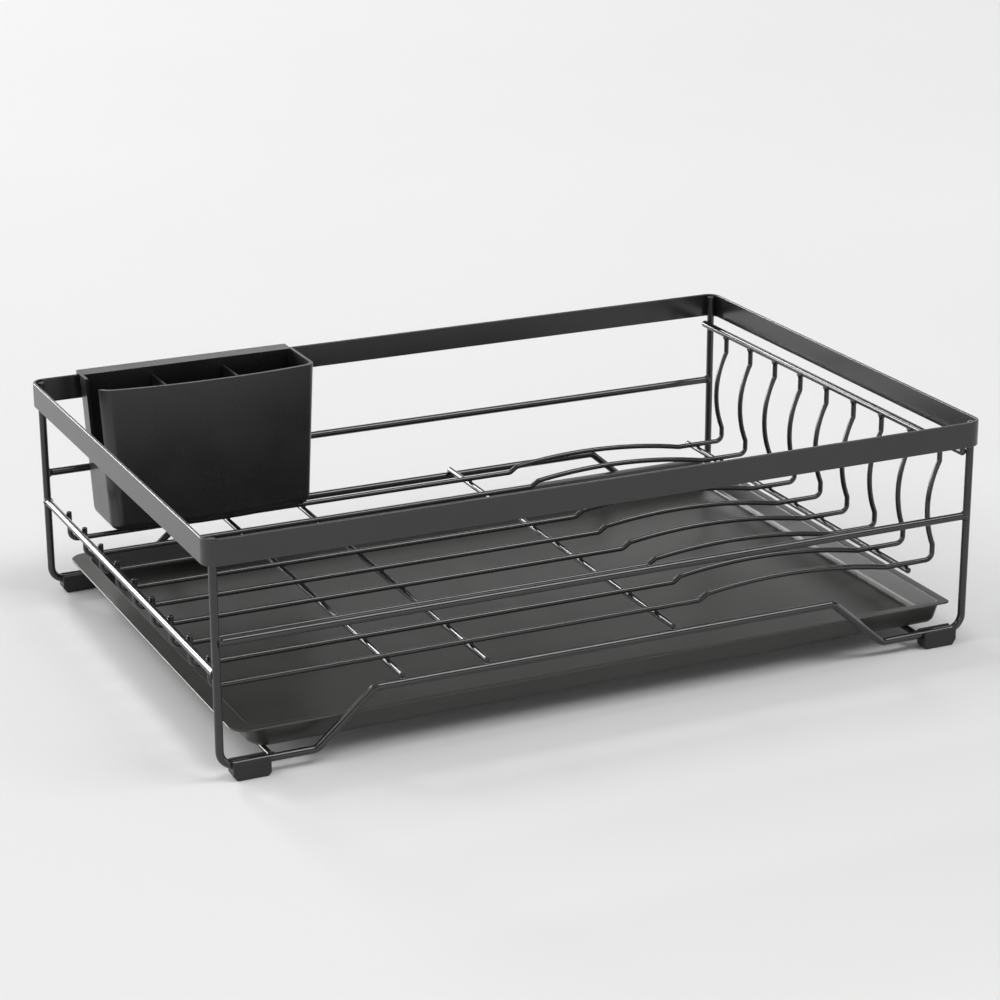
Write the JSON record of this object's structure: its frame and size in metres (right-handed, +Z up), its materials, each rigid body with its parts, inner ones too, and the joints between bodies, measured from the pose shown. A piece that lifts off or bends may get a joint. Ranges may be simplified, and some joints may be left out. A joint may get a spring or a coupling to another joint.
{
  "type": "dish drying rack",
  "caption": "Countertop dish drying rack: black wire basket under a flat steel rim band, rubber feet, slide-out drip tray and a hook-on utensil holder",
  "frame": {"origin": "on the table plane, under the middle of the rack; the lip of the utensil holder reaches 1.8 mm further back than the rim band", "axes": "+X along the long front to the right, +Y to the back, +Z up; metres"},
  "size_m": [0.44, 0.2984, 0.129],
  "materials": {
    "powder_coat": "black satin powder coat on steel wire and strip",
    "tray_coat": "dark grey satin coat on pressed sheet steel",
    "holder_plastic": "black moulded plastic, satin",
    "foot_rubber": "black matte rubber"
  },
  "bodies": {
    "rack": {"rim_band": "powder_coat", "front_frame_wire": "powder_coat", "back_frame_wire": "powder_coat", "front_mid_rail": "powder_coat", "back_mid_rail": "powder_coat", "hook_rail": "powder_coat", "top_rail": "powder_coat", "plate_wire_1": "powder_coat", "plate_wire_2": "powder_coat", "plate_wire_3": "powder_coat", "plate_wire_4": "powder_coat", "plate_wire_5": "powder_coat", "plate_wire_6": "powder_coat", "plate_wire_7": "powder_coat", "plate_wire_8": "powder_coat", "plate_wire_9": "powder_coat", "cross_wire_left": "powder_coat", "cross_wire_centre_left": "powder_coat", "cross_wire_centre_right": "powder_coat", "cross_wire_right": "powder_coat", "tray_rail_left": "powder_coat", "tray_rail_right": "powder_coat", "foot_front_left": "foot_rubber", "foot_back_left": "foot_rubber", "foot_front_right": "foot_rubber", "foot_back_right": "foot_rubber"},
    "tray": {"drip_tray": "tray_coat"},
    "holder": {"utensil_holder": "holder_plastic"}
  },
  "joints": [
    {"name": "tray_slide", "type": "slide", "parent": "rack", "child": "tray", "axis": [1, 0, 0], "range_m": [-0.43, 0.43]},
    {"name": "holder_lift", "type": "slide", "parent": "rack", "child": "holder", "axis": [0, 0, 1], "range_m": [0, 0.095]}
  ]
}
